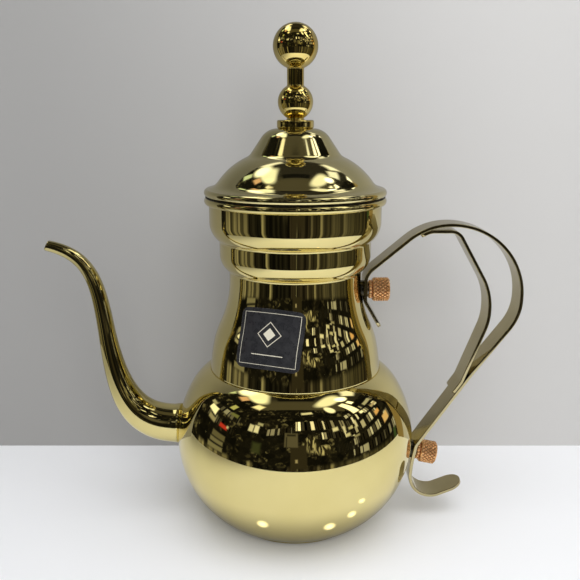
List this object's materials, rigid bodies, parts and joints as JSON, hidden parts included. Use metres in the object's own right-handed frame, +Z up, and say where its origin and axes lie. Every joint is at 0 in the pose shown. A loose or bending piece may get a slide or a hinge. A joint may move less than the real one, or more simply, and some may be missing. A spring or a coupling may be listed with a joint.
{
  "type": "coffee pot",
  "caption": "Tall gold coffee pot with a round belly, waisted neck, thin curved spout, lift-off lid under a ball finial, and a strap handle held by knurled thumb nuts.",
  "frame": {"origin": "centre of the flat base, on the pot's axis", "axes": "+Z up along the pot's axis, +X towards the handle, the spout points to -X"},
  "size_m": [0.2606, 0.1336, 0.2739],
  "materials": {
    "gold": "polished pale champagne gold plate",
    "deep_gold": "polished deep gold plate",
    "copper": "satin, knurled, copper tone",
    "dark_steel": "dark satin",
    "label": "gloss black film"
  },
  "bodies": {
    "pot": {"base_disc": "gold", "belly_shell": "gold", "neck_shell": "gold", "mouth_bead": "gold", "spout": "gold", "label": "label", "outer_strap": "gold", "inner_strap": "gold", "upper_pad": "dark_steel", "lower_pad": "dark_steel", "upper_stud": "dark_steel", "lower_stud": "dark_steel", "upper_washer": "dark_steel", "lower_washer": "dark_steel"},
    "lid": {"lid_shell": "gold", "lid_sleeve": "gold", "finial_foot": "deep_gold", "finial_small_ball": "deep_gold", "finial_stem": "deep_gold", "finial_big_ball": "deep_gold", "finial_rod": "dark_steel", "finial_washer": "dark_steel", "finial_nut": "dark_steel"},
    "upper_collar": {"upper_bead_collar": "copper"},
    "upper_nut": {"upper_thumb_nut": "copper"},
    "lower_collar": {"lower_bead_collar": "copper"},
    "lower_nut": {"lower_thumb_nut": "copper"}
  },
  "joints": [
    {"name": "lid_lift", "type": "slide", "parent": "pot", "child": "lid", "axis": [0, 0, 1], "range_m": [0, 0.06]},
    {"name": "upper_collar_slide", "type": "slide", "parent": "pot", "child": "upper_collar", "axis": [1, 0, 0], "range_m": [0, 0.006]},
    {"name": "upper_nut_turn", "type": "hinge", "parent": "upper_collar", "child": "upper_nut", "pos_m": [0.0424, 0, 0.134], "axis": [1, 0, 0], "range_deg": [0, 2700]},
    {"name": "lower_collar_slide", "type": "slide", "parent": "pot", "child": "lower_collar", "axis": [0.9816, 0, -0.1908], "range_m": [0, 0.006]},
    {"name": "lower_nut_turn", "type": "hinge", "parent": "lower_collar", "child": "lower_nut", "pos_m": [0.07227, 0, 0.03775], "axis": [0.9816, 0, -0.1908], "range_deg": [0, 2700]}
  ],
  "couplings": [
    {"joint": "upper_collar_slide", "follows": "upper_nut_turn", "m_per_rad": 0.00012732},
    {"joint": "lower_collar_slide", "follows": "lower_nut_turn", "m_per_rad": 0.00012732}
  ]
}
